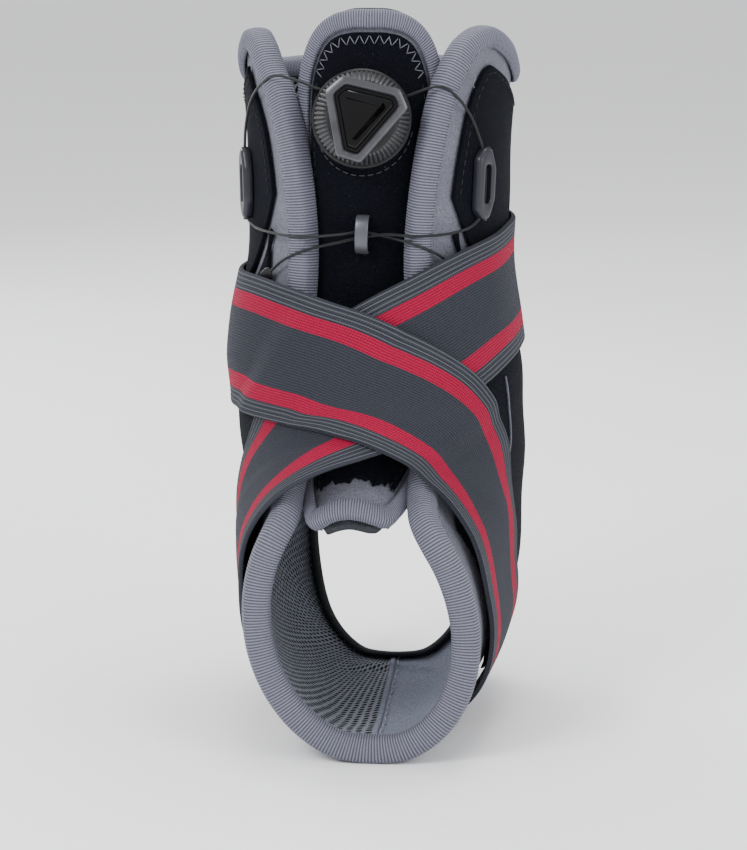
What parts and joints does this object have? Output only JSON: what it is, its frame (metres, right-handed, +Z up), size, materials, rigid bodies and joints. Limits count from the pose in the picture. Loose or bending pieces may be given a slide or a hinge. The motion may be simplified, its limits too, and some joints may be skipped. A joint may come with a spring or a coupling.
{
  "type": "ankle brace",
  "caption": "Padded ankle brace with open heel and toes, a tongue, a rotary lace dial, thin laces through guides and crossing elastic straps.",
  "frame": {"origin": "on the flat underside of the sole, below the middle of the leg", "axes": "+Z up the leg, -Y towards the toes, +X towards the viewer's right"},
  "size_m": [0.0936, 0.1304, 0.2227],
  "materials": {
    "shell_fabric": "light gray padded fabric, matt",
    "mesh_lining": "gray spacer mesh with rows of small holes",
    "brushed_lining": "gray brushed fabric",
    "ribbed_binding": "gray ribbed elastic binding",
    "thin_binding": "thin dark binding",
    "loop_fabric": "black brushed loop fabric",
    "pad_fabric": "dark gray padded fabric",
    "strap_elastic": "charcoal ribbed elastic with two red stripes",
    "black_plastic": "black, satin",
    "gun_metal": "gun-metal gray, satin",
    "gloss_black": "black, glossy",
    "gray_plastic": "gray, satin",
    "steel_lace": "dark twisted wire"
  },
  "bodies": {
    "brace": {"shell": "shell_fabric", "lining_left": "mesh_lining", "lining_right": "brushed_lining", "edge_binding": "ribbed_binding", "heel_binding": "thin_binding", "upper_panel": "loop_fabric", "lower_panel_left": "loop_fabric", "lower_panel_right": "loop_fabric", "tongue_pad": "pad_fabric", "tongue_cover": "shell_fabric", "tongue_panel": "loop_fabric", "tongue_binding": "ribbed_binding", "strap_under": "strap_elastic", "strap_over": "strap_elastic", "dial_base": "black_plastic", "lace_left": "steel_lace", "lace_right": "steel_lace", "guide_left": "gray_plastic", "guide_right": "gray_plastic", "keeper_loop": "gloss_black", "lace_anchor_left": "black_plastic", "lace_anchor_right": "black_plastic"},
    "dial_knob": {"dial_ring": "black_plastic", "dial_bezel": "gun_metal", "dial_insert": "gloss_black"}
  },
  "joints": [
    {"name": "dial_turn", "type": "hinge", "parent": "brace", "child": "dial_knob", "pos_m": [-0.00199, -0.04091, 0.19018], "axis": [0.1029, -0.9794, 0.1736], "continuous": true}
  ]
}
